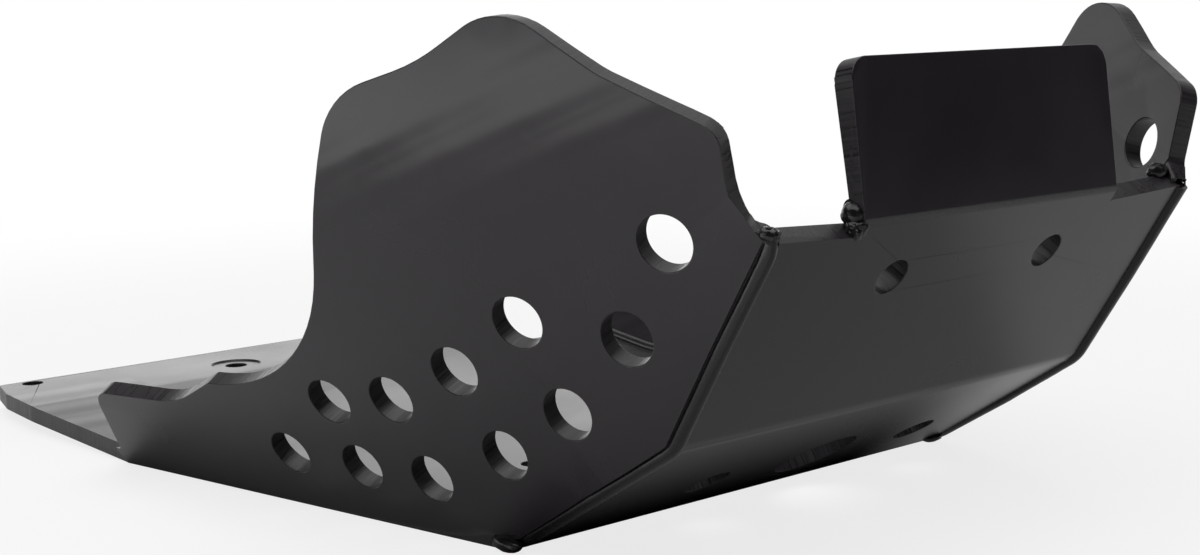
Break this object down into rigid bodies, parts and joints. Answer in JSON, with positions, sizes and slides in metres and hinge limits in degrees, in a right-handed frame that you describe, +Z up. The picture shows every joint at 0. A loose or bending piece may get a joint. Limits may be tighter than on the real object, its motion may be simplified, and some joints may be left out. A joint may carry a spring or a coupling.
{
  "type": "motorcycle skid plate",
  "caption": "Folded black polyethylene skid plate with a flat base, raised front plate with a bent tab, flared side walls with lightening holes, and welded corners.",
  "frame": {"origin": "middle of the flat underside, halfway between the front bend and the rear bend", "axes": "+Z up, -Y towards the motorcycle's front wheel, +X towards its left side"},
  "size_m": [0.3836, 0.5264, 0.199],
  "materials": {
    "sheet": "satin",
    "weld": "gloss"
  },
  "bodies": {
    "root": {"folded_plate": "sheet", "right_outer_weld": "weld", "left_outer_weld": "weld", "right_inner_weld": "weld", "left_inner_weld": "weld", "tab_weld": "weld"}
  },
  "joints": []
}
